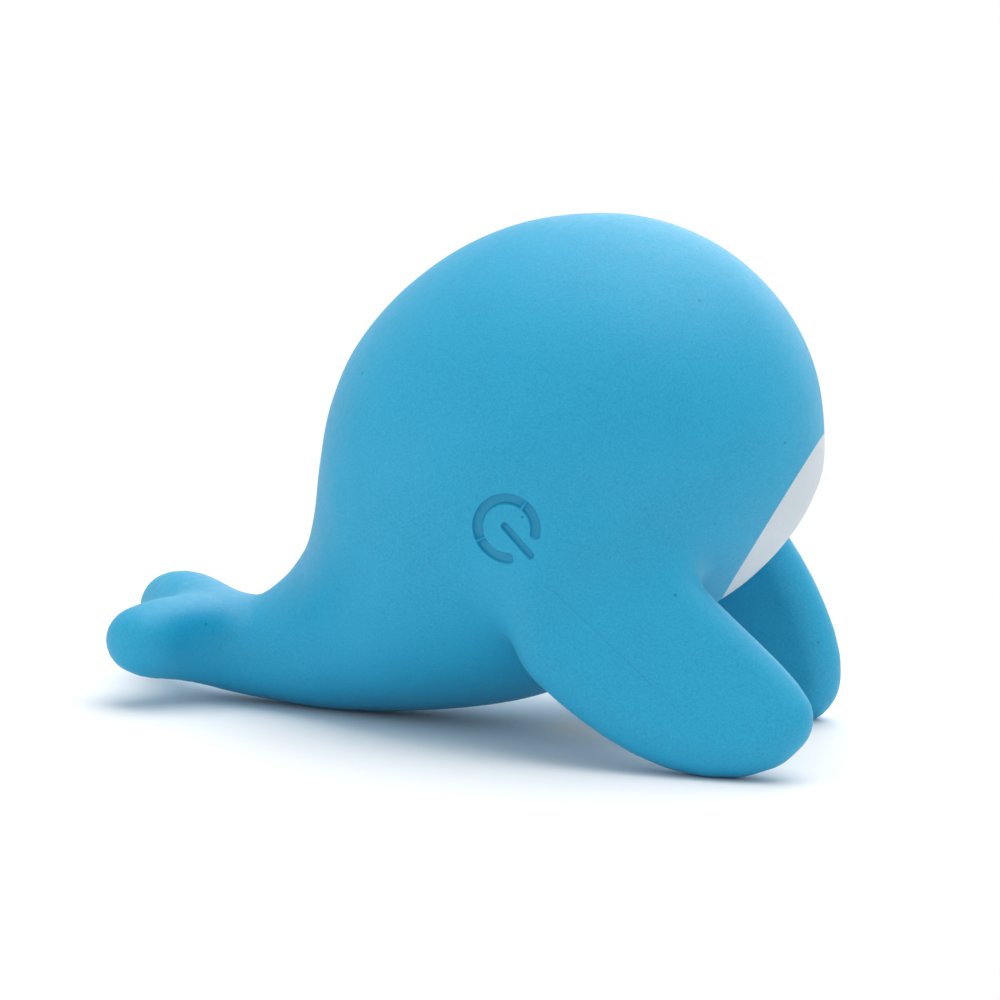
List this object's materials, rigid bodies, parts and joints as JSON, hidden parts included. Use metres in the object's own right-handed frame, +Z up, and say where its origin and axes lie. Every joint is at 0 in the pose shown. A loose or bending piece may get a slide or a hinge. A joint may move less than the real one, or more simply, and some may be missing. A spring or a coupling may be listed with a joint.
{
  "type": "whale bath toy",
  "caption": "Round silicone whale bath toy with broad flippers, tail lobes and a white chin; a press-through flank button works an electric squeaker in a sealed capsule.",
  "frame": {"origin": "on the ground, under the middle of the toy's length and width", "axes": "+X the way the whale faces, +Y its left, +Z up"},
  "size_m": [0.097, 0.0633, 0.0703],
  "materials": {
    "silicone_blue": "matt moulded silicone",
    "silicone_white": "matt moulded silicone",
    "shell_plastic": "moulded, inside the toy",
    "board_green": "solder mask",
    "black_plastic": "moulded",
    "red_plastic": "wire covering",
    "led_plastic": "clear resin",
    "steel": "plated",
    "cell_foil": "pouch foil",
    "brass": "plain",
    "foam": "closed-cell foam",
    "ceramic": "fired ceramic"
  },
  "bodies": {
    "whale": {"silicone_skin": "silicone_blue", "white_chin": "silicone_white", "switch_body": "steel", "switch_legs": "steel", "circuit_board": "board_green", "board_screws": "steel", "sound_chip": "black_plastic", "board_components": "black_plastic", "status_led": "led_plastic", "battery_cell": "cell_foil", "battery_tape": "foam", "battery_lead_plus": "red_plastic", "battery_lead_minus": "black_plastic", "sounder_plate": "brass", "sounder_ceramic": "ceramic", "sounder_gasket": "foam", "sounder_leads": "black_plastic", "capsule_right": "shell_plastic", "capsule_left": "shell_plastic", "capsule_screws": "steel", "charge_port": "shell_plastic", "charge_pins": "brass", "charge_magnets": "steel", "charge_leads": "black_plastic"},
    "button": {"power_button": "silicone_blue", "button_plunger": "shell_plastic"},
    "stem": {"switch_stem": "black_plastic"}
  },
  "joints": [
    {"name": "button_press", "type": "slide", "parent": "whale", "child": "button", "axis": [0.0168, 0.9844, 0.175], "range_m": [0, 0.0008], "stiffness_N_per_m": 2000},
    {"name": "switch_press", "type": "slide", "parent": "whale", "child": "stem", "axis": [0.0168, 0.9844, 0.175], "range_m": [0, 0.0003]}
  ],
  "couplings": [
    {"joint": "switch_press", "follows": "button_press", "ratio": 0.375}
  ]
}
